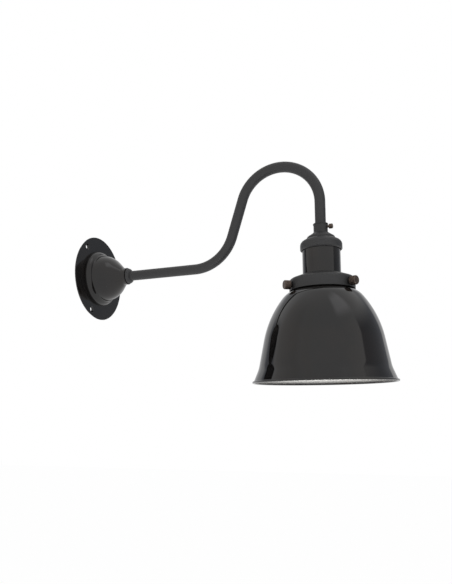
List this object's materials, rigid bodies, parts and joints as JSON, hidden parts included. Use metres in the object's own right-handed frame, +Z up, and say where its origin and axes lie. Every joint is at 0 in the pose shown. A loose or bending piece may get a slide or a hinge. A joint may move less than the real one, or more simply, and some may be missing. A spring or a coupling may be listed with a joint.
{
  "type": "swan neck wall sconce",
  "caption": "Swan neck wall light: a round wall plate, a bent tube arm, a stepped cap and lampholder, a thumb screw gallery and a bell shade.",
  "frame": {"origin": "centre of the wall plate's back face, on the arm's axis", "axes": "+X out from the wall along the arm, +Z up, +Y by the right-hand rule"},
  "size_m": [0.4272, 0.1834, 0.2982],
  "materials": {
    "gloss_black": "high gloss black enamel",
    "arm_black": "fine textured satin black",
    "holder_black": "glossy black moulding",
    "knob_bronze": "dark bronze",
    "shade_enamel": "black enamel outside, white enamel inside",
    "bright_brass": "bright brass",
    "zinc_steel": "zinc plated steel",
    "terminal_plastic": "ivory plastic",
    "bush_plastic": "black nylon",
    "live_insulation": "brown insulation",
    "neutral_insulation": "blue insulation",
    "earth_insulation": "green and yellow insulation"
  },
  "bodies": {
    "fixture": {"wall_plate": "gloss_black", "wall_dome": "gloss_black", "dome_screws": "zinc_steel", "collar_nut": "arm_black", "arm_lock_nut": "zinc_steel", "arm_washer": "zinc_steel", "terminal_block": "terminal_plastic", "terminal_barrels": "bright_brass", "terminal_screws": "zinc_steel", "block_screw": "zinc_steel", "earth_screw": "zinc_steel", "earth_tag": "zinc_steel", "swan_neck_tube": "arm_black", "wall_bush": "bush_plastic", "head_bush": "bush_plastic", "live_wire": "live_insulation", "neutral_wire": "neutral_insulation", "earth_wire": "earth_insulation", "holder_cap": "arm_black", "head_earth_tag": "zinc_steel", "head_earth_screw": "zinc_steel", "holder_body": "holder_black", "holder_screws": "zinc_steel", "screw_shell": "bright_brass", "live_terminal": "bright_brass", "neutral_terminal": "bright_brass", "post_screws": "zinc_steel", "gallery": "arm_black", "gallery_nut": "zinc_steel"},
    "shade": {"shade": "shade_enamel"},
    "thumb_screw_1": {"thumb_screw_1": "knob_bronze"},
    "thumb_screw_2": {"thumb_screw_2": "knob_bronze"},
    "thumb_screw_3": {"thumb_screw_3": "knob_bronze"},
    "set_screw": {"set_screw": "knob_bronze"},
    "contact": {"centre_contact": "bright_brass"}
  },
  "joints": [
    {"name": "thumb_screw_1_out", "type": "slide", "parent": "fixture", "child": "thumb_screw_1", "axis": [0.9026, -0.4305, 0], "range_m": [0, 0.006]},
    {"name": "thumb_screw_2_out", "type": "slide", "parent": "fixture", "child": "thumb_screw_2", "axis": [-0.8241, -0.5664, 0], "range_m": [0, 0.006]},
    {"name": "thumb_screw_3_out", "type": "slide", "parent": "fixture", "child": "thumb_screw_3", "axis": [-0.0785, 0.9969, 0], "range_m": [0, 0.006]},
    {"name": "set_screw_out", "type": "slide", "parent": "fixture", "child": "set_screw", "axis": [1, 0, 0], "range_m": [0, 0.004]},
    {"name": "shade_down", "type": "slide", "parent": "fixture", "child": "shade", "axis": [0, 0, -1], "range_m": [0, 0.04]},
    {"name": "contact_flex", "type": "hinge", "parent": "fixture", "child": "contact", "pos_m": [0.33543, -0.0068, -0.01044], "axis": [1, 0, 0], "range_deg": [0, 9], "stiffness_Nm_per_rad": 0.1}
  ]
}
